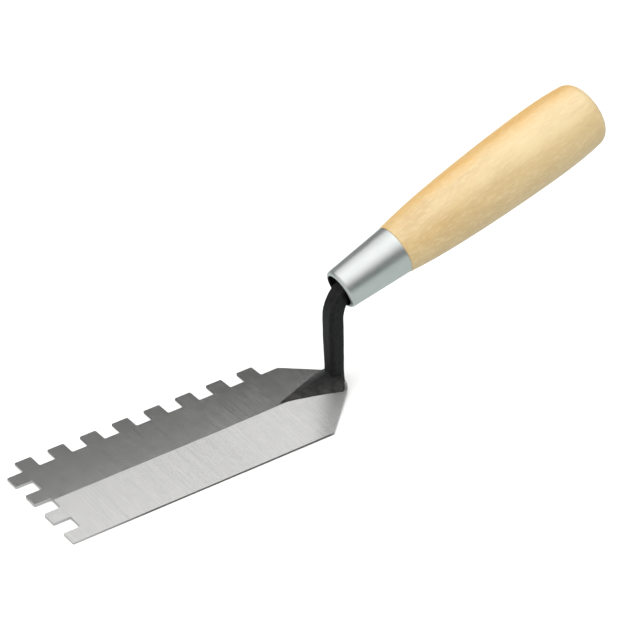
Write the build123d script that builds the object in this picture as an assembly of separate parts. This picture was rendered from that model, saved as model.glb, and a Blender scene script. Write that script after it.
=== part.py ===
"""Notched margin trowel: one forged blade, shank and tang, a steel ferrule and a turned wood handle.

Millimetres. The origin is the middle of the blade's flat working face, on the blade's centreline.
+X runs from the toe towards the handle, +Y towards the notched side, and +Z away from the work.
"""
import os
from math import cos, radians, sin, tan

from build123d import *

# Blade outline: a quarter-inch square notch grid, four pitches wide
INCH = 25.4
NOTCH = INCH / 4
PITCH = 2 * NOTCH
SIDE_TEETH = 8
TOE_NOTCHES = 4
BLADE_WIDTH = TOE_NOTCHES * PITCH
BLADE_LENGTH = 122.8
HEEL_TAPER = 45.0
HEEL_NOSE_R = 11.8
TOOTH_CORNER_R = 0.4

# Blade thickness: two ground facets meet in a ridge that stands a little off the centreline
TOE_EDGE = 0.7
HEEL_EDGE = 0.9
RIDGE_Y = -1.6
RIDGE_TOE = 1.3
RIDGE_MIDDLE = 1.4
RIDGE_HEEL = 2.1
MIDDLE_FROM_TOE = 70.0

# Foot: the unground wedge between the facets, which rises to the shank
FOOT_TIP_FROM_TOE = 95.0
FOOT_TIP_HEIGHT = 1.65
FOOT_TIP_HALF_WIDTH = 0.2
FOOT_TIP_Y = -0.7
FOOT_BASE = 0.2
FOOT_HALF_WIDTH = 9.5
FOOT_HEIGHT = 5.6
FOOT_CROWN = 1.5
FOOT_RIM = 0.9

# Shank and tang. The shank leans back a little as it rises
SHANK_FROM_TOE = 119.8
SHANK_LEAN = 1.0
SHANK_DEPTH = 5.6
SHANK_WIDTH = 6.1
SHANK_CORNER_R = 1.3
FLARE_GROWTH = 1.4
FLARE_CORNER_R = 2.4
FLARE_BOTTOM = 1.2
FLARE_TOP = 8.0
BEND_R = 12.5
TANG_TIP_SIDE = 3.4
TANG_CORNER_R = 0.8
TANG_END = 56.0

# Handle axis: it climbs from the mouth of the ferrule
HANDLE_PITCH = 17.45
MOUTH_FROM_TOE = 123.3
MOUTH_HEIGHT = 36.9

# Ferrule, with its mouth rolled inwards
FERRULE_LENGTH = 25.0
FERRULE_MOUTH_R = 7.35
FERRULE_END_R = 9.1
FERRULE_WALL = 0.9
LIP_R = 1.2

# Handle, measured along its axis from the mouth of the ferrule
HANDLE_NOSE = 8.0
HANDLE_LENGTH = 113.2
SEAT_CLEARANCE = 0.03
HANDLE_SHOULDER_R = 9.3
SHOULDER_SLOPE = 0.15
HANDLE_SWELL = ((36.0, 10.7), (50.0, 11.85), (65.0, 12.65), (80.0, 13.15), (92.0, 13.3))
BUTT_ROUNDING = 4.5
BUTT_R = 12.4
BUTT_SLOPE = -0.12
BUTT_FLAT_R = 7.2
BORE_R = 4.3
BORE_END = 60.0

# Derived places
TOE_X = -BLADE_LENGTH / 2
HEEL_X = BLADE_LENGTH / 2
HALF_WIDTH = BLADE_WIDTH / 2
MARGIN = 1.0
MOUTH = (TOE_X + MOUTH_FROM_TOE, 0, MOUTH_HEIGHT)
FERRULE_SLOPE = (FERRULE_END_R - FERRULE_MOUTH_R) / FERRULE_LENGTH


def along_handle(shape):
    """Place a shape drawn with +X along the handle and its origin at the ferrule's mouth."""
    return Location(MOUTH, (0, -HANDLE_PITCH, 0)) * shape


def handle_point(distance):
    """The point of the handle's axis at a distance from the ferrule's mouth."""
    angle = radians(HANDLE_PITCH)
    return (MOUTH[0] + distance * cos(angle), 0, MOUTH[2] + distance * sin(angle))


def rectangle(x_low, y_low, x_high, y_high):
    """A rectangular face on the working plane, given by two corners."""
    corners = [(x_low, y_low), (x_high, y_low), (x_high, y_high), (x_low, y_high)]
    return make_face(Polyline(*corners, close=True))


def blade_outline():
    """The blade seen from above: straight sides, a tapered heel with a round nose, and the notches."""
    nose_saving = HEEL_NOSE_R * (1 / cos(radians(HEEL_TAPER)) - 1)
    point_x = HEEL_X + nose_saving
    taper_x = point_x - HALF_WIDTH / tan(radians(HEEL_TAPER))
    corners = [
        (TOE_X, -HALF_WIDTH),
        (taper_x, -HALF_WIDTH),
        (point_x, 0),
        (taper_x, HALF_WIDTH),
        (TOE_X, HALF_WIDTH),
    ]
    outline = make_face(Polyline(*corners, close=True))
    outline = fillet(outline.vertices().sort_by(Axis.X)[-1], HEEL_NOSE_R)
    for k in range(SIDE_TEETH):
        x = TOE_X + k * PITCH
        outline -= rectangle(x, HALF_WIDTH - NOTCH, x + NOTCH, HALF_WIDTH + MARGIN)
    last_tooth_x = TOE_X + SIDE_TEETH * PITCH
    outline -= rectangle(last_tooth_x, HALF_WIDTH - NOTCH, HEEL_X, HALF_WIDTH + MARGIN)
    for k in range(TOE_NOTCHES):
        y = HALF_WIDTH - k * PITCH
        outline -= rectangle(TOE_X - MARGIN, y - NOTCH, TOE_X + NOTCH, y)
    corner_zone_x = TOE_X + NOTCH + MARGIN
    corner_zone_y = HALF_WIDTH - NOTCH - MARGIN
    sharp = [v for v in outline.vertices() if v.X < corner_zone_x or v.Y > corner_zone_y]
    return fillet(sharp, TOOTH_CORNER_R)


def blade_section(x, edge, ridge):
    """The blade's five-sided cross-section: a flat underside and two facets up to the ridge."""
    side = HALF_WIDTH + MARGIN
    corners = [(-side, 0), (side, 0), (side, edge), (RIDGE_Y, ridge), (-side, edge)]
    points = [(x, y, z) for y, z in corners]
    return make_face(Polyline(*points, close=True))


def blade():
    """The ground blade: the wedge-shaped plate, cut to the outline."""
    middle_x = TOE_X + MIDDLE_FROM_TOE
    sections = [
        blade_section(TOE_X - MARGIN, TOE_EDGE, RIDGE_TOE),
        blade_section(middle_x, TOE_EDGE, RIDGE_MIDDLE),
        blade_section(HEEL_X + MARGIN, HEEL_EDGE, RIDGE_HEEL),
    ]
    plate = loft(sections, ruled=True)
    return plate & extrude(blade_outline(), RIDGE_HEEL + MARGIN)


def foot_section(x, middle_y, half_width, height, crown):
    """The foot's cross-section: a low trapezium with a narrow crown."""
    corners = [(-half_width, FOOT_BASE), (half_width, FOOT_BASE), (crown, height), (-crown, height)]
    points = [(x, middle_y + y, z) for y, z in corners]
    return make_face(Polyline(*points, close=True))


def foot():
    """The wedge that rises from the ridge to the shank, set back a little from the heel's rim."""
    root_x = TOE_X + SHANK_FROM_TOE - SHANK_DEPTH / 2 + FLARE_GROWTH
    tip_x = TOE_X + FOOT_TIP_FROM_TOE
    tip_crown = FOOT_TIP_HALF_WIDTH / 2
    tip = foot_section(tip_x, FOOT_TIP_Y, FOOT_TIP_HALF_WIDTH, FOOT_TIP_HEIGHT, tip_crown)
    root = foot_section(root_x, 0, FOOT_HALF_WIDTH, FOOT_HEIGHT, FOOT_CROWN)
    heel = foot_section(HEEL_X, 0, FOOT_HALF_WIDTH, FOOT_HEIGHT, FOOT_CROWN)
    wedge = loft([tip, root], ruled=True) + loft([root, heel], ruled=True)
    return wedge & extrude(Pos(-FOOT_RIM, 0) * blade_outline(), FOOT_HEIGHT + MARGIN)


def shank_point(height):
    """The point of the leaning shank's centreline at a height above the working face."""
    return (TOE_X + SHANK_FROM_TOE + height * tan(radians(SHANK_LEAN)), 0, height)


def shank():
    """The rounded square bar: up from the heel, then bent into the handle's axis."""
    pitch = radians(HANDLE_PITCH)
    lean = radians(SHANK_LEAN)
    offset_x = shank_point(0)[0] - MOUTH[0]
    corner_z = (MOUTH[2] + offset_x * tan(pitch)) / (1 - tan(lean) * tan(pitch))
    tangent = BEND_R * tan((radians(90) - pitch - lean) / 2)
    bend_start = shank_point(corner_z - tangent * cos(lean))
    corner_x = shank_point(corner_z)[0]
    bend_end = (corner_x + tangent * cos(pitch), 0, corner_z + tangent * sin(pitch))
    upward = (sin(lean), 0, cos(lean))
    rise = Line(shank_point(FOOT_BASE), bend_start)
    bend = TangentArc(bend_start, bend_end, tangent=upward)
    seat = Line(bend_end, handle_point(HANDLE_NOSE))
    start = Plane(shank_point(FOOT_BASE), x_dir=(cos(lean), 0, -sin(lean)), z_dir=upward)
    bar = start * RectangleRounded(SHANK_DEPTH, SHANK_WIDTH, SHANK_CORNER_R)
    return sweep(bar, path=rise + bend + seat)


def flare():
    """The shank's spread root, which stays inside the heel's nose."""
    wide = FLARE_GROWTH * 2
    low = Pos(*shank_point(FLARE_BOTTOM))
    low *= RectangleRounded(SHANK_DEPTH + wide, SHANK_WIDTH + wide, FLARE_CORNER_R)
    high = Pos(*shank_point(FLARE_TOP))
    high *= RectangleRounded(SHANK_DEPTH, SHANK_WIDTH, SHANK_CORNER_R)
    return loft([low, high]) & extrude(blade_outline(), FLARE_TOP + MARGIN)


def tang():
    """The tapered square spike that the handle is bonded onto."""
    thick = Plane.YZ.offset(HANDLE_NOSE) * RectangleRounded(SHANK_WIDTH, SHANK_DEPTH, SHANK_CORNER_R)
    thin = Plane.YZ.offset(TANG_END) * RectangleRounded(TANG_TIP_SIDE, TANG_TIP_SIDE, TANG_CORNER_R)
    return along_handle(loft([thick, thin]))


def blade_forging():
    """Blade, foot, shank and tang: one piece of steel."""
    return blade() + foot() + flare() + shank() + tang()


def ferrule():
    """The tapered steel sleeve, open at both ends, with its mouth rolled inwards."""
    opening_r = FERRULE_MOUTH_R - LIP_R
    inner_mouth_r = FERRULE_MOUTH_R - FERRULE_WALL + FERRULE_SLOPE * LIP_R
    inner_end_r = FERRULE_END_R - FERRULE_WALL
    lip_outer = (LIP_R, FERRULE_MOUTH_R + FERRULE_SLOPE * LIP_R)
    outside = Polyline(lip_outer, (FERRULE_LENGTH, FERRULE_END_R), (FERRULE_LENGTH, inner_end_r))
    inside = Polyline((FERRULE_LENGTH, inner_end_r), (LIP_R, inner_mouth_r), (LIP_R, opening_r))
    inside += Line((LIP_R, opening_r), (0, opening_r))
    lip = TangentArc(lip_outer, (0, opening_r), tangent=(-1, -FERRULE_SLOPE))
    return along_handle(revolve(make_face(outside + inside + lip), Axis.X))


def seat_radius(distance):
    """The wood's radius inside the ferrule, a slip fit in the sleeve."""
    inside = FERRULE_MOUTH_R - FERRULE_WALL + FERRULE_SLOPE * distance
    return inside - SEAT_CLEARANCE


def handle():
    """The turned handle: a nose that seats in the ferrule, a long swell and a rounded butt."""
    shoulder = (FERRULE_LENGTH, HANDLE_SHOULDER_R)
    butt_start = (HANDLE_LENGTH - BUTT_ROUNDING, BUTT_R)
    butt_edge = (HANDLE_LENGTH, BUTT_FLAT_R)
    nose = Polyline(
        (BORE_END, 0),
        (BORE_END, BORE_R),
        (HANDLE_NOSE, BORE_R),
        (HANDLE_NOSE, seat_radius(HANDLE_NOSE)),
        (FERRULE_LENGTH, seat_radius(FERRULE_LENGTH)),
        shoulder,
    )
    start_tangent = (1, SHOULDER_SLOPE)
    butt_tangent = (1, BUTT_SLOPE)
    swell = Spline(shoulder, *HANDLE_SWELL, butt_start, tangents=(start_tangent, butt_tangent))
    rounding = TangentArc(butt_start, butt_edge, tangent=butt_tangent)
    end = Polyline(butt_edge, (HANDLE_LENGTH, 0), (BORE_END, 0))
    return along_handle(revolve(make_face(nose + swell + rounding + end), Axis.X))


def tang_bond():
    """The set adhesive that fills the handle's bore around the tang."""
    filling = Plane.YZ.offset(HANDLE_NOSE) * Cylinder(
        BORE_R, BORE_END - HANDLE_NOSE, align=(Align.CENTER, Align.CENTER, Align.MIN)
    )
    return along_handle(filling) - tang()


os.makedirs("parts", exist_ok=True)
NODES = {
    "blade_forging": blade_forging,
    "ferrule": ferrule,
    "handle": handle,
    "tang_bond": tang_bond,
}
for name, build in NODES.items():
    export_step(build(), f"parts/{name}.step")
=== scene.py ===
"""Notched margin trowel: the finished look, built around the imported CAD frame.

Blender works in metres. The object's lengths are named in millimetres and become metres through MM.
The row frame: origin in the middle of the blade's flat working face, +X towards the handle,
+Y towards the notched side, +Z away from the work.
"""
from math import acos, cos, pi, radians, sin, sqrt, tan

import bmesh
import bpy
from mathutils import Matrix, Vector, noise


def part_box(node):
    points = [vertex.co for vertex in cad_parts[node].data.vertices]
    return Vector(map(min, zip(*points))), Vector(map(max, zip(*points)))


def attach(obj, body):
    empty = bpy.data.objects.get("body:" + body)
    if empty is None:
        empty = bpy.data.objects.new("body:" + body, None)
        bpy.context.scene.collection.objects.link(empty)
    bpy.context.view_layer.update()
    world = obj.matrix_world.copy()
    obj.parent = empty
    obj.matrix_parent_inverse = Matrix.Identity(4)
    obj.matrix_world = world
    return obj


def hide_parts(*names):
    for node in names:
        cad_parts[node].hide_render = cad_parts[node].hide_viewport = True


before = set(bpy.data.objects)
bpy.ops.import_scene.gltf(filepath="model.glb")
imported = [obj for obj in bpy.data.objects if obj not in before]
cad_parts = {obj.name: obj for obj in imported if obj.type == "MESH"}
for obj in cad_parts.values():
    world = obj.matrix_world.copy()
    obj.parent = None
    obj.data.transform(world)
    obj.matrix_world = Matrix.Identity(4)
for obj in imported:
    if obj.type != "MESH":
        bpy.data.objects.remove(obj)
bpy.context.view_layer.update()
MM = 0.001

# ---------------------------------------------------------------- driving dimensions, millimetres
BLADE_LOW, BLADE_HIGH = (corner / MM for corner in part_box("blade_forging"))
TOE_X = BLADE_LOW.x
HEEL_X = -TOE_X
HALF_WIDTH = BLADE_HIGH.y
NOTCH = 6.35
PITCH = 2 * NOTCH
SIDE_TEETH = 8
TOE_NOTCHES = 4
HEEL_TAPER = 45.0
HEEL_NOSE_R = 11.8
TOOTH_CORNER_R = 0.45

TOE_EDGE = 0.7
HEEL_EDGE = 0.9
RIDGE_Y = -1.6
RIDGE_TOE = 1.3
RIDGE_MIDDLE = 1.4
RIDGE_HEEL = 2.1
MIDDLE_X = TOE_X + 70.0
GRID = 3.0
EDGE_BREAK = 0.07

FOOT_TIP_X = TOE_X + 95.4
FOOT_TIP_Y = -0.86
FOOT_LENGTH = 22.0
FOOT_NEAR_SPREAD = 7.0
FOOT_FAR_SPREAD = 8.3
FOOT_RISE = 3.9
FOOT_HOLLOW = 0.4
FOOT_BASE = 0.25
FOOT_RIM = 0.95

SHANK_X = TOE_X + 119.8
SHANK_LEAN = 1.0
SHANK_LOW = (5.0, 5.5, 5.75)
SHANK_HIGH = (20.0, 5.95, 6.15)
SHANK_CORNER_R = 1.3
FLARE_GROWTH = 1.2
FLARE_TOP = 8.0
BEND_R = 12.5
TANG_END = 56.0
TANG_TIP_SIDE = 3.4
TANG_CORNER_R = 0.8

HANDLE_PITCH = 17.45
MOUTH = Vector((TOE_X + 123.3, 0, 36.9))

FERRULE_LENGTH = 25.0
FERRULE_MOUTH_R = 7.35
FERRULE_END_R = 9.1
FERRULE_WALL = 0.9
LIP_R = 1.2

HANDLE_NOSE = 8.0
HANDLE_LENGTH = 113.185
SHOULDER_R = 9.3
SHOULDER_ROUNDING = 0.35
SHOULDER_SLOPE = 0.15
HANDLE_SWELL = (
    (36.0, 10.7, 0.105),
    (50.0, 11.85, 0.066),
    (65.0, 12.65, 0.044),
    (80.0, 13.15, 0.023),
    (92.0, 13.3, -0.004),
)
BUTT_ROUNDING = 4.5
BUTT_R = 12.395
BUTT_SLOPE = -0.12
BUTT_FLAT_R = 7.2
BORE_R = 4.3
BORE_END = 60.0

# ---------------------------------------------------------------- camera and studio, metres and degrees
CAMERA_AZIMUTH = -32.41
CAMERA_ELEVATION = 32.65
CAMERA_ROLL = -2.84
CAMERA_DISTANCE = 1.0
CAMERA_LENS = 169.59  # millimetres, as is SENSOR
SENSOR = 36.0
AIM = Vector((48.84, -2.95, 34.68)) * MM
SOFTBOX_HEIGHT = 0.9
SOFTBOX_LOW_X = -1.6
SOFTBOX_HIGH_X = 1.0
SOFTBOX_FRONT_Y = -1.6
WIDE_PANEL_WATTS = 15.2
WIDE_PANEL_FRONT_Y = -0.8
MIDDLE_PANEL_WATTS = 11.0
MIDDLE_PANEL_FRONT_Y = -0.5
MIDDLE_PANEL_BACK_Y = 0.2
HOT_FRONT_Y = -0.19
HOT_BACK_Y = 0.1
STRIP_LOW_X = 0.0
STRIP_FRONT_Y = 0.6
GREY_GREEN = (0.92, 1.0, 0.965, 1)


# ---------------------------------------------------------------- mesh helpers
def new_object(name, verts, faces, smooth=True):
    """A mesh object from points in millimetres."""
    mesh = bpy.data.meshes.new(name)
    mesh.from_pydata([tuple(c * MM for c in v) for v in verts], [], faces)
    mesh.update()
    for polygon in mesh.polygons:
        polygon.use_smooth = smooth
    obj = bpy.data.objects.new(name, mesh)
    bpy.context.scene.collection.objects.link(obj)
    return obj


def bake_modifiers(obj):
    """Replace an object's mesh by the result of its modifiers."""
    graph = bpy.context.evaluated_depsgraph_get()
    result = bpy.data.meshes.new_from_object(obj.evaluated_get(graph))
    obj.modifiers.clear()
    obj.data = result
    return obj


def tangent_arc(start, tangent, end, steps):
    """Points of the arc that leaves start along tangent and reaches end, start left out."""
    s, e = Vector(start), Vector(end)
    t = Vector(tangent).normalized()
    n = Vector((-t.y, t.x))
    chord = e - s
    if chord.dot(n) < 0:
        n = -n
    radius = chord.length_squared / (2 * chord.dot(n))
    centre = s + n * radius
    sweep = 2 * acos(max(-1.0, min(1.0, chord.normalized().dot(t))))
    points = []
    for k in range(1, steps + 1):
        a = sweep * k / steps
        points.append(tuple(centre - n * radius * cos(a) + t * radius * sin(a)))
    return points


def smooth_curve(points, steps):
    """A smooth curve through (x, y, slope) points, steps parts a gap, the first point left out."""
    result = []
    for (x0, y0, slope0), (x1, y1, slope1) in zip(points, points[1:]):
        width = x1 - x0
        for j in range(1, steps + 1):
            t = j / steps
            rise = (2 * t**3 - 3 * t**2 + 1) * y0 + (3 * t**2 - 2 * t**3) * y1
            bend = (t**3 - 2 * t**2 + t) * slope0 + (t**3 - t**2) * slope1
            result.append((x0 + t * width, rise + bend * width))
    return result


def on_handle(distance, side, height):
    """A point given along the handle's axis from the ferrule's mouth, moved to the row frame."""
    a = radians(HANDLE_PITCH)
    x = MOUTH.x + distance * cos(a) - height * sin(a)
    z = MOUTH.z + distance * sin(a) + height * cos(a)
    return (x, side, z)


def from_handle(point):
    """The reverse, for a mesh point: its distance along the axis and its offset from the axis."""
    a = radians(HANDLE_PITCH)
    x, side, z = point / MM - MOUTH
    distance = x * cos(a) + z * sin(a)
    return distance, Vector(on_handle(0, side, z * cos(a) - x * sin(a))) - MOUTH


def lathe(name, profile, segments):
    """A closed turned piece: profile is (distance, radius) points round a closed section."""
    verts, faces, rings = [], [], []
    for distance, radius in profile:
        if radius < 1e-6:
            rings.append([len(verts)])
            verts.append(on_handle(distance, 0, 0))
            continue
        rings.append(list(range(len(verts), len(verts) + segments)))
        for k in range(segments):
            a = 2 * pi * k / segments
            verts.append(on_handle(distance, radius * cos(a), radius * sin(a)))
    for ring, following in zip(rings, rings[1:] + rings[:1]):
        for k in range(segments):
            j = (k + 1) % segments
            if len(ring) == 1 and len(following) == 1:
                break
            if len(ring) == 1:
                faces.append((ring[0], following[j], following[k]))
            elif len(following) == 1:
                faces.append((ring[k], ring[j], following[0]))
            else:
                faces.append((ring[k], ring[j], following[j], following[k]))
    obj = new_object(name, verts, faces)
    fix_normals(obj)
    return obj


def fix_normals(obj):
    """Turn every face outwards."""
    work = bmesh.new()
    work.from_mesh(obj.data)
    bmesh.ops.recalc_face_normals(work, faces=work.faces)
    work.to_mesh(obj.data)
    work.free()


def sharpen(obj, angle):
    """Mark the edges that fold more than angle degrees as sharp, so that smooth shading stops there."""
    work = bmesh.new()
    work.from_mesh(obj.data)
    for edge in work.edges:
        fold = edge.calc_face_angle(0.0) if edge.is_manifold else 0.0
        edge.smooth = fold < radians(angle)
    work.to_mesh(obj.data)
    work.free()


# ---------------------------------------------------------------- blade
def rounded(corners, steps):
    """The closed outline through (x, y, radius) corners, with an arc of steps parts at each."""
    points = []
    count = len(corners)
    for k, (x, y, radius) in enumerate(corners):
        here = Vector((x, y))
        back = (Vector(corners[k - 1][:2]) - here).normalized()
        ahead = (Vector(corners[(k + 1) % count][:2]) - here).normalized()
        opening = acos(max(-1.0, min(1.0, back.dot(ahead))))
        reach = radius / tan(opening / 2)
        centre = here + (back + ahead).normalized() * radius / sin(opening / 2)
        arms = (here + back * reach - centre, here + ahead * reach - centre)
        sweep = pi - opening
        parts = steps if radius < 1 else steps * 5
        for j in range(parts + 1):
            t = j / parts
            arm = arms[0] * sin((1 - t) * sweep) + arms[1] * sin(t * sweep)
            points.append(centre + arm / sin(sweep))
    return points


def blade_outline():
    """The notched outline seen from above, counterclockwise from the toe's unnotched corner."""
    point_x = HEEL_X + HEEL_NOSE_R * (1 / cos(radians(HEEL_TAPER)) - 1)
    slope = tan(radians(HEEL_TAPER))
    inner_y = HALF_WIDTH - NOTCH
    r = TOOTH_CORNER_R
    corners = [(TOE_X, -HALF_WIDTH, r), (point_x - HALF_WIDTH / slope, -HALF_WIDTH, r)]
    corners.append((point_x, 0, HEEL_NOSE_R))
    corners.append((point_x - inner_y / slope, inner_y, r))
    for k in reversed(range(SIDE_TEETH)):
        tooth_x = TOE_X + k * PITCH + NOTCH
        corners.append((tooth_x + NOTCH, inner_y, r))
        corners.append((tooth_x + NOTCH, HALF_WIDTH, r))
        corners.append((tooth_x, HALF_WIDTH, r))
        corners.append((tooth_x, inner_y, r))
    for k in range(TOE_NOTCHES - 1):
        tooth_y = inner_y - k * PITCH
        corners.append((TOE_X, tooth_y, r))
        corners.append((TOE_X, tooth_y - NOTCH, r))
        corners.append((TOE_X + NOTCH, tooth_y - NOTCH, r))
        corners.append((TOE_X + NOTCH, tooth_y - PITCH, r))
    corners.append((TOE_X, -inner_y, r))
    return rounded(corners, 6)


def facet_height(x, y):
    """The blade's thickness: two ground facets that meet in the ridge."""
    if x < MIDDLE_X:
        ridge = RIDGE_TOE + (RIDGE_MIDDLE - RIDGE_TOE) * (x - TOE_X) / (MIDDLE_X - TOE_X)
        edge = TOE_EDGE
    else:
        t = (x - MIDDLE_X) / (HEEL_X - MIDDLE_X)
        ridge = RIDGE_MIDDLE + (RIDGE_HEEL - RIDGE_MIDDLE) * t
        edge = TOE_EDGE + (HEEL_EDGE - TOE_EDGE) * t
    side_y = HALF_WIDTH if y > RIDGE_Y else -HALF_WIDTH
    return ridge + (edge - ridge) * (y - RIDGE_Y) / (side_y - RIDGE_Y)


def make_blade():
    """The ground blade: the outline cut into a fine grid, raised to the facets and edge-broken."""
    outline = blade_outline()
    work = bmesh.new()
    ring = [work.verts.new((p.x, p.y, 0)) for p in outline]
    work.faces.new(ring)
    cuts = [((0, RIDGE_Y, 0), (0, 1, 0))]
    columns = int((HEEL_X - TOE_X) / GRID)
    cuts += [((TOE_X + (k + 0.5) * GRID, 0, 0), (1, 0, 0)) for k in range(columns)]
    rows = int(HALF_WIDTH / GRID)
    cuts += [((0, RIDGE_Y + k * GRID, 0), (0, 1, 0)) for k in range(-rows, rows + 1) if k]
    for point, normal in cuts:
        geometry = work.verts[:] + work.edges[:] + work.faces[:]
        bmesh.ops.bisect_plane(work, geom=geometry, dist=1e-6, plane_co=point, plane_no=normal)
    raised = bmesh.ops.extrude_face_region(work, geom=work.faces[:])["geom"]
    top = [v for v in raised if isinstance(v, bmesh.types.BMVert)]
    for v in top:
        v.co.z = facet_height(v.co.x, v.co.y)
    bmesh.ops.recalc_face_normals(work, faces=work.faces)
    grind = work.loops.layers.uv.new("grind")
    for face in work.faces:
        face.smooth = True
        face.material_index = 0 if abs(face.normal.z) > 0.5 else 1
        for loop in face.loops:
            loop[grind].uv = (loop.vert.co.x / 100, loop.vert.co.y / 100)
    for edge in work.edges:
        on_ridge = all(abs(v.co.y - RIDGE_Y) < 1e-4 and v.co.z > 0 for v in edge.verts)
        edge.smooth = not on_ridge
    bmesh.ops.scale(work, vec=(MM, MM, MM), verts=work.verts)
    mesh = bpy.data.meshes.new("blade")
    work.to_mesh(mesh)
    work.free()
    blade = bpy.data.objects.new("blade", mesh)
    bpy.context.scene.collection.objects.link(blade)
    bevel = blade.modifiers.new("edge_break", "BEVEL")
    bevel.width = EDGE_BREAK * MM
    bevel.segments = 2
    bevel.limit_method = "ANGLE"
    bevel.angle_limit = radians(40)
    bevel.harden_normals = True
    return blade


# ---------------------------------------------------------------- shank, foot and tang
def rounded_square(depth, width, corner, steps=5):
    """Points of a rounded rectangle about the origin."""
    points = []
    quarter = ((1, 1, 0), (-1, 1, 90), (-1, -1, 180), (1, -1, 270))
    for sx, sy, start in quarter:
        for k in range(steps + 1):
            a = radians(start + 90 * k / steps)
            x = sx * (depth / 2 - corner) + corner * cos(a)
            y = sy * (width / 2 - corner) + corner * sin(a)
            points.append((x, y))
    return points


def shank_sides(z):
    """The shank's depth and width at a height: it is a little slimmer towards the foot."""
    t = max(0.0, min(1.0, (z - SHANK_LOW[0]) / (SHANK_HIGH[0] - SHANK_LOW[0])))
    return (low + (high - low) * t for low, high in zip(SHANK_LOW[1:], SHANK_HIGH[1:]))


def shank_path():
    """The centreline of shank and tang: (x, z, slope angle, depth, width, corner) stations."""
    pitch = radians(HANDLE_PITCH)
    lean = radians(SHANK_LEAN)
    corner_z = (MOUTH.z + (SHANK_X - MOUTH.x) * tan(pitch)) / (1 - tan(lean) * tan(pitch))
    corner_x = SHANK_X + corner_z * tan(lean)
    turn = pi / 2 - pitch - lean
    tangent = BEND_R * tan(turn / 2)
    stations = []
    start_z = corner_z - tangent * cos(lean)
    rise_steps = 24
    for k in range(rise_steps):
        z = FOOT_BASE + (start_z - FOOT_BASE) * k / rise_steps
        growth = FLARE_GROWTH * max(0.0, 1 - z / FLARE_TOP)**2
        depth, width = shank_sides(z)
        sides = (depth + growth, width + 2 * growth, SHANK_CORNER_R + growth / 2)
        stations.append((SHANK_X - growth / 2 + z * tan(lean), z, pi / 2 - lean, *sides))
    centre_x = corner_x - tangent * sin(lean) + BEND_R * cos(lean)
    centre_z = start_z - BEND_R * sin(lean)
    bend_steps = 16
    full = (*SHANK_HIGH[1:], SHANK_CORNER_R)
    for k in range(bend_steps + 1):
        a = lean + turn * k / bend_steps
        x = centre_x - BEND_R * cos(a)
        z = centre_z + BEND_R * sin(a)
        stations.append((x, z, pi / 2 - a, *full))
    seat_x, _, seat_z = on_handle(HANDLE_NOSE, 0, 0)
    stations.append((seat_x, seat_z, pitch, *full))
    end_x, _, end_z = on_handle(TANG_END, 0, 0)
    stations.append((end_x, end_z, pitch, TANG_TIP_SIDE, TANG_TIP_SIDE, TANG_CORNER_R))
    return stations


def make_bar():
    """The rounded square bar swept along the shank's path."""
    verts, faces = [], []
    count = 0
    stations = shank_path()
    for x, z, slope, depth, width, corner in stations:
        section = rounded_square(depth, width, corner)
        count = len(section)
        for across, side in section:
            verts.append((x + across * sin(slope), side, z - across * cos(slope)))
    for ring in range(len(stations) - 1):
        for k in range(count):
            j = (k + 1) % count
            low, high = ring * count, (ring + 1) * count
            faces.append((low + k, low + j, high + j, high + k))
    faces.append(tuple(range(count)))
    faces.append(tuple(range(len(verts) - count, len(verts))))
    bar = new_object("shank", verts, faces)
    fix_normals(bar)
    return bar


def nose_half_width(x):
    """Half the blade's width by the heel's nose, less the foot's set-back from the rim."""
    centre_x = HEEL_X - HEEL_NOSE_R
    reach = HEEL_NOSE_R - FOOT_RIM
    inside = reach**2 - max(0.0, x - centre_x)**2
    return sqrt(max(inside, 0.01))


def foot_height(x, y):
    """The foot's surface: hollow flanks that fall from a crest and dive below the facets."""
    u = (x - FOOT_TIP_X) / FOOT_LENGTH
    if u <= 0:
        return facet_height(x, y) - 0.5 * abs(y - FOOT_TIP_Y) + 0.3 * u * FOOT_LENGTH
    crest_y = FOOT_TIP_Y * max(0.0, 1 - u)
    near = FOOT_TIP_Y - FOOT_NEAR_SPREAD * u**1.3
    far = FOOT_TIP_Y + FOOT_FAR_SPREAD * u
    edge = far if y > crest_y else near
    s = (y - crest_y) / (edge - crest_y)
    rise = FOOT_RISE * min(u, 1.0)**1.05
    flank = (1 - s) * (1 + FOOT_HOLLOW * min(s, 1.0))
    return facet_height(x, y) + rise * flank


def make_foot():
    """The wedge between the facets: a low crest with flanks, cut round with the heel's nose."""
    columns, rows = 90, 80
    start_x, end_x = FOOT_TIP_X - 1.0, HEEL_X - FOOT_RIM
    verts, faces = [], []
    for i in range(columns + 1):
        x = start_x + (end_x - start_x) * i / columns
        limit = nose_half_width(x)
        for j in range(rows + 1):
            y = limit * (2 * j / rows - 1)
            verts.append((x, y, max(foot_height(x, y), FOOT_BASE)))
    top = len(verts)
    verts += [(x, y, FOOT_BASE - 0.15) for x, y, z in verts]
    width = rows + 1
    for i in range(columns):
        for j in range(rows):
            a = i * width + j
            quad = (a, a + width, a + width + 1, a + 1)
            faces.append(quad)
            faces.append(tuple(top + k for k in reversed(quad)))
        for a in (i * width, i * width + rows):
            faces.append((a, a + width, top + a + width, top + a))
    for a in list(range(rows)) + list(range(columns * width, columns * width + rows)):
        faces.append((a, a + 1, top + a + 1, top + a))
    foot = new_object("foot", verts, faces)
    fix_normals(foot)
    return foot


def join(first, *others):
    """Put the others' meshes into the first object."""
    work = bmesh.new()
    for obj in (first, *others):
        work.from_mesh(obj.data)
    work.to_mesh(first.data)
    work.free()
    for obj in others:
        bpy.data.objects.remove(obj)
    return first


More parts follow.
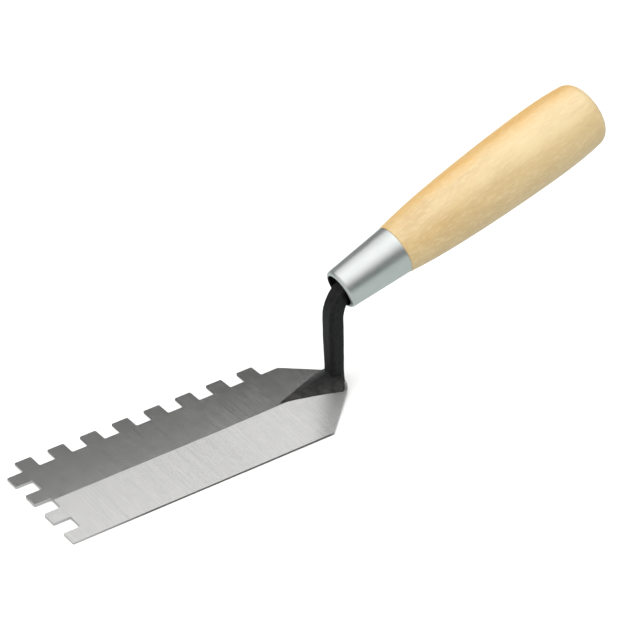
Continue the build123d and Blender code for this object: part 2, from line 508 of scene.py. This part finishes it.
def make_shank():
    """Foot, shank and tang as one skin, with the soft creases and slight lumps of a forging."""
    shank = join(make_bar(), make_foot())
    remesh = shank.modifiers.new("skin", "REMESH")
    remesh.mode = "VOXEL"
    remesh.voxel_size = 0.28 * MM
    soften = shank.modifiers.new("soften", "SMOOTH")
    soften.factor = 0.5
    soften.iterations = 3
    bake_modifiers(shank)
    places = [(v.co.copy(), v.normal.copy()) for v in shank.data.vertices]
    for v, (place, outward) in zip(shank.data.vertices, places):
        lump = noise.noise(place / (2.6 * MM)) * 0.04 + noise.noise(place / (0.9 * MM)) * 0.01
        v.co = place + outward * lump * MM
    for polygon in shank.data.polygons:
        polygon.use_smooth = True
    return shank


# ---------------------------------------------------------------- ferrule and handle
def make_ferrule():
    """The tapered sleeve: rolled mouth, thin wall and a broken edge at the wood."""
    slope = (FERRULE_END_R - FERRULE_MOUTH_R) / FERRULE_LENGTH
    lip_start = (LIP_R, FERRULE_MOUTH_R + slope * LIP_R)
    opening = FERRULE_MOUTH_R - LIP_R
    broken = 0.15
    profile = [(FERRULE_LENGTH, FERRULE_END_R - FERRULE_WALL)]
    profile.append((FERRULE_LENGTH, FERRULE_END_R - broken))
    profile.append((FERRULE_LENGTH - broken * 0.3, FERRULE_END_R - broken * 0.3))
    profile.append((FERRULE_LENGTH - broken, FERRULE_END_R - slope * broken))
    steps = 24
    for k in range(1, steps):
        t = k / steps
        d = FERRULE_LENGTH - broken - (FERRULE_LENGTH - broken - LIP_R) * t
        profile.append((d, FERRULE_MOUTH_R + slope * d))
    profile.append(lip_start)
    profile += tangent_arc(lip_start, (-1, -slope), (0, opening), 14)
    inner = FERRULE_MOUTH_R - FERRULE_WALL
    profile.append((LIP_R * 0.5, opening - 0.02))
    profile.append((LIP_R, opening + 0.1))
    profile.append((LIP_R + 0.1, inner + slope * LIP_R))
    obj = lathe("ferrule_shell", profile, 160)
    sharpen(obj, 35)
    # Faces inside the sleeve take the near-black inside material, a painted shade.
    for polygon in obj.data.polygons:
        distance, offset = from_handle(polygon.center)
        inside = polygon.normal.dot(offset) < 0 and distance > LIP_R * 0.4
        polygon.material_index = 1 if inside else 0
    return obj


def make_handle():
    """The turned wood: nose in the ferrule, long swell, rounded butt, and the bore for the tang."""
    slope = (FERRULE_END_R - FERRULE_MOUTH_R) / FERRULE_LENGTH
    seat = FERRULE_MOUTH_R - FERRULE_WALL - 0.03
    profile = [(BORE_END, 0), (BORE_END, BORE_R), (HANDLE_NOSE, BORE_R)]
    profile.append((HANDLE_NOSE, seat + slope * HANDLE_NOSE))
    profile.append((FERRULE_LENGTH, seat + slope * FERRULE_LENGTH))
    edge = (FERRULE_LENGTH, SHOULDER_R - SHOULDER_ROUNDING)
    profile.append(edge)
    shoulder = (FERRULE_LENGTH + SHOULDER_ROUNDING, SHOULDER_R)
    profile += tangent_arc(edge, (0, 1), shoulder, 4)
    butt_start = (HANDLE_LENGTH - BUTT_ROUNDING, BUTT_R)
    ends = ((*shoulder, SHOULDER_SLOPE), (*butt_start, BUTT_SLOPE))
    profile += smooth_curve([ends[0], *HANDLE_SWELL, ends[1]], 10)
    butt_edge = (HANDLE_LENGTH, BUTT_FLAT_R)
    profile += tangent_arc(butt_start, (1, BUTT_SLOPE), butt_edge, 14)
    for k in range(1, 6):
        profile.append((HANDLE_LENGTH, BUTT_FLAT_R * (1 - k / 6)))
    profile.append((HANDLE_LENGTH, 0))
    obj = lathe("handle_wood", profile, 160)
    sharpen(obj, 40)
    # The nose's end face takes the near-black adhesive: adhesive on the wood, and painted shade deep in
    # the sleeve.
    for polygon in obj.data.polygons:
        distance = from_handle(polygon.center)[0]
        polygon.material_index = 1 if distance < HANDLE_NOSE + 0.01 else 0
    return obj


# ---------------------------------------------------------------- materials
class Nodes:
    """A short way to write a node material."""

    def __init__(self, name, **surface):
        self.material = bpy.data.materials.new(name)
        self.material.use_nodes = True
        self.tree = self.material.node_tree
        self.shader = self.tree.nodes["Principled BSDF"]
        for socket, value in surface.items():
            self.shader.inputs[socket.replace("_", " ")].default_value = value

    def add(self, kind, inputs=None, **settings):
        """A node with its settings and its inputs, which are values or another node's socket."""
        node = self.tree.nodes.new(kind)
        for key, value in settings.items():
            setattr(node, key, value)
        for key, value in (inputs or {}).items():
            self.feed(value, node.inputs[key])
        return node

    def feed(self, value, socket):
        """Set a socket to a value, or link it to another node's output."""
        if isinstance(value, bpy.types.NodeSocket):
            self.tree.links.new(value, socket)
        else:
            socket.default_value = value

    def surface(self, **links):
        """Link or set the shader's inputs."""
        for key, value in links.items():
            self.feed(value, self.shader.inputs[key.replace("_", " ")])

    def place(self, scale, location=(0, 0, 0), rotation=(0, 0, 0)):
        """Object coordinates divided by scale, in metres, along the axes of a turned frame."""
        coordinates = self.add("ShaderNodeTexCoord").outputs["Object"]
        inputs = {"Vector": coordinates, "Location": location, "Rotation": rotation, "Scale": scale}
        return self.add("ShaderNodeMapping", inputs, vector_type="TEXTURE").outputs["Vector"]

    def axes(self, place):
        """A place's three coordinates, as outputs X, Y and Z."""
        return self.add("ShaderNodeSeparateXYZ", {0: place}).outputs

    def noise(self, place, detail=2.0, rough=0.5, distortion=0.0):
        """Fractal noise of about 0 to 1."""
        inputs = {"Vector": place, "Scale": 1.0, "Detail": detail, "Roughness": rough}
        inputs["Distortion"] = distortion
        return self.add("ShaderNodeTexNoise", inputs).outputs["Fac"]

    def ramp(self, value, low, high, to_low=0.0, to_high=1.0):
        """Map low..high to to_low..to_high, clamped."""
        inputs = {"Value": value, "From Min": low, "From Max": high}
        inputs.update({"To Min": to_low, "To Max": to_high})
        return self.add("ShaderNodeMapRange", inputs).outputs["Result"]

    def math(self, operation, a, b):
        """One arithmetic step."""
        return self.add("ShaderNodeMath", {0: a, 1: b}, operation=operation).outputs[0]

    def mix(self, share, a, b):
        """Mix two colours."""
        node = self.add("ShaderNodeMix", data_type="RGBA")
        self.feed(share, node.inputs["Factor"])
        self.feed(a, node.inputs[6])
        self.feed(b, node.inputs[7])
        return node.outputs[2]

    def bump(self, height, distance):
        """A bump whose height of 1 stands for distance, in metres."""
        inputs = {"Height": height, "Distance": distance, "Strength": 1.0}
        return self.add("ShaderNodeBump", inputs).outputs["Normal"]


def ground_steel():
    """Bright steel, ground across the blade: streaks along Y, faint clouds, duller by the foot."""
    m = Nodes("ground_steel", Metallic=0.98, Anisotropic=1.0)
    fine = m.noise(m.place((0.12 * MM, 30 * MM, 9 * MM)), detail=2.0, rough=0.6)
    coarse = m.noise(m.place((0.5 * MM, 16 * MM, 9 * MM)), detail=2.0)
    cloud = m.noise(m.place((5 * MM, 4 * MM, 9 * MM)), detail=4.0, rough=0.6)
    streaks = m.math("ADD", m.math("MULTIPLY", fine, 0.75), m.math("MULTIPLY", coarse, 0.25))
    dark, light = (0.655, 0.65, 0.64, 1), (0.77, 0.765, 0.755, 1)
    tone = m.mix(m.ramp(streaks, 0.3, 0.7), dark, light)
    tone = m.mix(m.ramp(cloud, 0.35, 0.75, 0, 0.2), tone, (0.88, 0.88, 0.88, 1))
    roughness = m.ramp(m.math("ADD", streaks, m.math("MULTIPLY", cloud, 0.5)), 0.4, 1.1, 0.15, 0.20)
    spot = m.axes(m.place((MM,) * 3))
    near_side = m.ramp(spot["Y"], -7.0, RIDGE_Y, 1, 0)
    by_foot = m.math("MULTIPLY", near_side, m.ramp(spot["X"], TOE_X + 96, TOE_X + 118, 0, 0.24))
    roughness = m.math("ADD", roughness, by_foot)
    tangent = m.add("ShaderNodeTangent", direction_type="UV_MAP", uv_map="grind").outputs[0]
    normal = m.bump(fine, 0.026 * MM)
    m.surface(Base_Color=tone, Roughness=roughness, Tangent=tangent, Normal=normal)
    return m.material


def sheared_edge():
    """The cut faces round the blade: painted dark along the sides as shade, painted bright at the toe
    and heel as a reflection of the lit floor.
    """
    m = Nodes("sheared_edge", Metallic=1.0, Roughness=0.4)
    marks = m.noise(m.place((0.25 * MM, 0.25 * MM, 3 * MM)), detail=3.0, rough=0.6)
    # The dark tone of the sides is painted shade beside the blade.
    tone = m.mix(m.ramp(marks, 0.3, 0.7), (0.13, 0.128, 0.124, 1), (0.24, 0.237, 0.23, 1))
    along = m.axes(m.place((MM,) * 3))["X"]
    # Brighter towards toe and heel: a painted reflection of the lit floor.
    toe, heel = m.ramp(along, TOE_X + 2, TOE_X + 30, 1, 0), m.ramp(along, HEEL_X - 22, HEEL_X - 19)
    tone = m.mix(m.math("MAXIMUM", toe, heel), tone, (0.76, 0.72, 0.725, 1))
    normal = m.bump(marks, 0.004 * MM)
    m.surface(Base_Color=tone, Roughness=m.ramp(marks, 0.3, 0.7, 0.34, 0.48), Normal=normal)
    return m.material


def black_lacquer():
    """Thin black lacquer over the forged skin, with a painted highlight in paler patches low down on
    the foot by the blade.
    """
    m = Nodes("black_lacquer", Specular_IOR_Level=0.25)
    skin = m.noise(m.place((1.1 * MM,) * 3), detail=4.0, rough=0.65)
    patches = m.noise(m.place((1.6 * MM,) * 3), detail=3.0)
    tone = m.mix(m.ramp(patches, 0.35, 0.7), (0.0025, 0.0026, 0.0027, 1), (0.010, 0.010, 0.0097, 1))
    height = m.axes(m.place((MM,) * 3))["Z"]
    # Paler patches low on the foot's flanks: a painted highlight.
    highlight_patches = m.noise(m.place((3.4 * MM,) * 3), detail=3.0, rough=0.6)
    painted_highlight = m.math("MULTIPLY", m.ramp(height, 2.2, 5.2, 1, 0), m.ramp(highlight_patches, 0.36, 0.66))
    tone = m.mix(painted_highlight, tone, (0.036, 0.035, 0.033, 1))
    roughness = m.ramp(patches, 0.3, 0.7, 0.42, 0.54)
    m.surface(Base_Color=tone, Roughness=roughness, Normal=m.bump(skin, 0.09 * MM))
    return m.material


def plated_steel():
    """Bright zinc plate with faint turning marks round the sleeve."""
    m = Nodes("plated_steel", Metallic=1.0, Anisotropic=0.2)
    turned = (0, -radians(HANDLE_PITCH), 0)
    rings = m.noise(m.place((0.12 * MM, 5 * MM, 5 * MM), MOUTH * MM, turned), detail=2.0)
    cloud = m.noise(m.place((4 * MM, 3 * MM, 3 * MM), MOUTH * MM, turned), detail=3.0)
    tone = m.mix(m.ramp(cloud, 0.3, 0.75), (0.68, 0.71, 0.70, 1), (0.75, 0.77, 0.765, 1))
    roughness = m.ramp(cloud, 0.3, 0.75, 0.31, 0.37)
    normal = m.bump(rings, 0.0008 * MM)
    m.surface(Base_Color=tone, Roughness=roughness, Normal=normal)
    return m.material


def sleeve_inside():
    """The steel inside the sleeve, near black with a dull mottle: painted shade deep in the sleeve."""
    m = Nodes("sleeve_inside", Metallic=0.6, Roughness=0.7)
    inside_mottle = m.noise(m.place((0.9 * MM,) * 3), detail=3.0)
    # Near-black tone: painted shade inside the sleeve.
    tone = m.mix(m.ramp(inside_mottle, 0.3, 0.7), (0.012, 0.011, 0.010, 1), (0.035, 0.033, 0.030, 1))
    m.surface(Base_Color=tone)
    return m.material


def lacquered_wood():
    """Pale turned hardwood under satin lacquer: warmer along the upper side, browner along the lower
    side as painted shade, paler toward the butt as painted light.
    """
    m = Nodes("lacquered_wood", Roughness=0.5, Coat_Weight=0.85, Coat_Roughness=0.39, Coat_IOR=1.9)
    turned = (0, -radians(HANDLE_PITCH), 0)

    def along(length, across):
        return m.place((length * MM, across * MM, across * MM), MOUTH * MM, turned)

    blotch = m.noise(along(13, 4.5), detail=3.0, rough=0.5, distortion=0.5)
    hue = m.noise(along(30, 8.0), detail=2.0, distortion=0.3)
    fibre = m.noise(along(7.0, 0.22), detail=4.0, rough=0.65)
    bands = m.noise(along(60, 1.8), detail=2.0, distortion=0.6)
    pale, tan, orange = (0.62, 0.455, 0.195, 1), (0.53, 0.36, 0.13, 1), (0.60, 0.365, 0.11, 1)
    tone = m.mix(m.ramp(blotch, 0.34, 0.66), tan, pale)
    tone = m.mix(m.ramp(hue, 0.42, 0.66, 0, 0.4), tone, orange)
    offset = m.axes(along(1, 1))
    # Paler toward the butt: painted light where the butt faces up to the lamps.
    tone = m.mix(m.ramp(offset["X"], 40, 80, 0, 0.4), tone, (0.77, 0.62, 0.33, 1))
    upper_warm_lower_shade = m.math("ADD", m.math("MULTIPLY", offset["Y"], 0.75), m.math("MULTIPLY", offset["Z"], 0.66))
    upper_warm_lower_shade = m.math("ADD", upper_warm_lower_shade, m.math("MULTIPLY", blotch, 7.0))
    # Warmer, more orange along the upper far side.
    tone = m.mix(m.ramp(upper_warm_lower_shade, 8.5, 14.5, 0, 0.95), tone, (0.66, 0.37, 0.075, 1))
    # Browner along the lower near side: painted shade.
    tone = m.mix(m.ramp(upper_warm_lower_shade, -8.0, 3.0, 0.7, 0), tone, (0.45, 0.31, 0.115, 1))
    tone = m.mix(m.ramp(bands, 0.52, 0.64, 0, 0.15), tone, (0.43, 0.27, 0.10, 1))
    fleck = m.noise(along(2.6, 0.8), detail=3.0, rough=0.6)
    tone = m.mix(m.ramp(fleck, 0.48, 0.66, 0, 0.42), tone, (0.70, 0.55, 0.29, 1))
    tone = m.mix(m.ramp(fibre, 0.35, 0.75, 0, 0.14), tone, (0.42, 0.26, 0.10, 1))
    normal = m.bump(fibre, 0.012 * MM)
    m.surface(Base_Color=tone, Normal=normal)
    m.surface(Coat_Normal=m.bump(blotch, 0.05 * MM))
    return m.material


def set_adhesive():
    """Cured adhesive round the tang, almost black: partly its own dark colour, partly painted shade
    deep in the sleeve's mouth.
    """
    m = Nodes("set_adhesive", Roughness=0.5)
    cloud = m.noise(m.place((1.2 * MM,) * 3), detail=3.0)
    tone = m.mix(m.ramp(cloud, 0.3, 0.7), (0.008, 0.006, 0.004, 1), (0.014, 0.010, 0.006, 1))
    m.surface(Base_Color=tone, Normal=m.bump(cloud, 0.1 * MM))
    return m.material


def paint(obj, *materials):
    """Give an object its materials, in slot order."""
    if obj.data.materials:
        obj.data.materials.clear()
    for material in materials:
        obj.data.materials.append(material)


# ---------------------------------------------------------------- the object
def make_trowel():
    """Every visible piece, painted, riding on the one body and standing for its CAD node."""
    blade = make_blade()
    paint(blade, ground_steel(), sheared_edge())
    shank = make_shank()
    paint(shank, black_lacquer())
    ferrule = make_ferrule()
    paint(ferrule, plated_steel(), sleeve_inside())
    handle = make_handle()
    adhesive = set_adhesive()
    paint(handle, lacquered_wood(), adhesive)
    stands_for = (
        (blade, "blade_forging", "blade_steel"),
        (shank, "blade_forging", "blade_steel"),
        (ferrule, "ferrule", "ferrule_steel"),
        (handle, "handle", "handle_wood"),
    )
    for piece, node, finish in stands_for:
        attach(piece, "root")
        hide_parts(node)
    paint(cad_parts["tang_bond"], adhesive)


# ---------------------------------------------------------------- camera
def make_camera():
    """The camera, aimed from the front and above the unnotched side."""
    azimuth, elevation = radians(CAMERA_AZIMUTH), radians(CAMERA_ELEVATION)
    back = Vector((sin(azimuth) * cos(elevation), -cos(azimuth) * cos(elevation), sin(elevation)))
    level = Vector((cos(azimuth), sin(azimuth), 0))
    upright = back.cross(level)
    roll = radians(CAMERA_ROLL)
    right = cos(roll) * level + sin(roll) * upright
    up = back.cross(right)
    camera = bpy.data.objects.new("camera", bpy.data.cameras.new("camera"))
    camera.data.lens = CAMERA_LENS
    camera.data.sensor_width = SENSOR
    axes = Matrix((right, up, back)).transposed().to_4x4()
    camera.matrix_world = Matrix.Translation(AIM + back * CAMERA_DISTANCE) @ axes
    bpy.context.scene.collection.objects.link(camera)
    bpy.context.scene.camera = camera
    return camera


# ---------------------------------------------------------------- studio
def emission(name, strength, colour=(1, 1, 1, 1), fades=()):
    """A plain glowing surface. Each fade (axis, place, glow, place, glow) caps it along one axis."""
    m = Nodes(name)
    m.tree.nodes.remove(m.shader)
    spot = m.axes(m.add("ShaderNodeTexCoord").outputs["Object"])
    for axis, start, glow, end, far_glow in fades:
        cap = m.ramp(spot[axis], start, end, glow, far_glow)
        strength = m.math("MINIMUM", strength, cap)
    glow = m.add("ShaderNodeEmission", {"Strength": strength, "Color": colour})
    output = m.tree.nodes["Material Output"]
    m.tree.links.new(glow.outputs[0], output.inputs["Surface"])
    return m.material


def card(name, corners, material):
    """A flat studio surface, given by its corners in metres."""
    obj = new_object(name, [Vector(c) / MM for c in corners], [(0, 1, 2, 3)], smooth=False)
    paint(obj, material)
    return obj


def only_reflected(obj):
    """A card that shows in reflections alone: it lights nothing and hides nothing."""
    obj.visible_camera = False
    obj.visible_diffuse = False
    obj.visible_shadow = False
    obj.visible_transmission = False


def level_corners(low, high, z):
    """The corners of a level rectangle between two (x, y) corners."""
    return ((low[0], low[1], z), (high[0], low[1], z), (high[0], high[1], z), (low[0], high[1], z))


def make_floor():
    """The pale floor. Reflections see a greyer sheet instead, as on a studio table."""
    m = Nodes("floor", Roughness=0.9, Specular_IOR_Level=0.0)
    m.surface(Base_Color=(0.92, 0.92, 0.92, 1))
    low, high = (-4.0, -4.0), (4.0, 4.0)
    floor = card("floor", level_corners(low, high, 0), m.material)
    floor.visible_glossy = False
    tone = emission("table_tone", 0.64, GREY_GREEN)
    only_reflected(card("table_tone", level_corners(low, high, -0.001), tone))


def softbox_back_y(camera):
    """Where the softbox ends behind the object: its edge is what the blade's ridge reflects."""
    eye = camera.matrix_world.translation
    ridge_y, ridge_z = RIDGE_Y * MM, RIDGE_TOE * MM
    slope = (ridge_z + eye.z) / (ridge_y - eye.y)
    return ridge_y + (SOFTBOX_HEIGHT - ridge_z) / slope


def panel_light(name, low, high, energy):
    """A level area light between two (x, y) corners, seen by nothing but matt surfaces."""
    light = bpy.data.lights.new(name, "AREA")
    light.shape = "RECTANGLE"
    light.size, light.size_y = high[0] - low[0], high[1] - low[1]
    light.energy = energy
    panel = bpy.data.objects.new(name, light)
    panel.location = ((low[0] + high[0]) / 2, (low[1] + high[1]) / 2, SOFTBOX_HEIGHT - 0.02)
    panel.visible_camera = False
    panel.visible_glossy = False
    bpy.context.scene.collection.objects.link(panel)


def make_lights(camera):
    """A broad softbox, brightest in a band above the object, with dim flags and a pale surround.

    The panels light matt surfaces, and the cards are what glossy surfaces reflect. Each flag has a
    fade, even a level one: with a plain constant glow the flags make the wood come out brighter.
    """
    back_y = softbox_back_y(camera)
    left, right, front = SOFTBOX_LOW_X, SOFTBOX_HIGH_X, SOFTBOX_FRONT_Y
    height = SOFTBOX_HEIGHT
    panel_light("softbox_wide", (left, WIDE_PANEL_FRONT_Y), (right, back_y), WIDE_PANEL_WATTS)
    middle = ((left, MIDDLE_PANEL_FRONT_Y), (right, MIDDLE_PANEL_BACK_Y))
    panel_light("softbox_middle", *middle, MIDDLE_PANEL_WATTS)
    fades = (
        ("Y", HOT_BACK_Y, 1.45, back_y, 0.5),
        ("Y", HOT_FRONT_Y, 1.45, front, 0.2),
        ("X", -0.6, 0.7, 0.0, 1.45),
    )
    face = emission("softbox_face", 1.45, fades=fades)
    only_reflected(card("softbox_face", level_corners((left, front), (right, back_y), height), face))
    strip = emission("softbox_strip", 1.1, fades=(("X", 0.45, 1.15, right, 0.66),))
    corners = level_corners((STRIP_LOW_X, STRIP_FRONT_Y), (right, back_y), height - 0.001)
    only_reflected(card("softbox_strip", corners, strip))
    flags = (
        ("flag_back", (left, back_y), (right, back_y), (("X", 0.3, 0.26, 0.72, 0.0),), (1, 1, 1, 1)),
        ("flag_front", (left, front), (right, front), (("X", left, 0.24, right, 0.24),), GREY_GREEN),
        ("flag_side", (right, front), (right, back_y), (("Y", front, 0.4, back_y, 0.4),), (1, 1, 1, 1)),
    )
    for name, start, end, fades, colour in flags:
        corners = ((*start, 0), (*end, 0), (*end, height), (*start, height))
        only_reflected(card(name, corners, emission(name, 1.0, colour, fades)))
    world = bpy.data.worlds.new("studio")
    world.use_nodes = True
    world.node_tree.nodes["Background"].inputs["Color"].default_value = (1, 1, 1, 1)
    world.node_tree.nodes["Background"].inputs["Strength"].default_value = 0.75
    bpy.context.scene.world = world


make_trowel()
camera = make_camera()
make_floor()
make_lights(camera)
bpy.context.scene.view_settings.view_transform = "Standard"
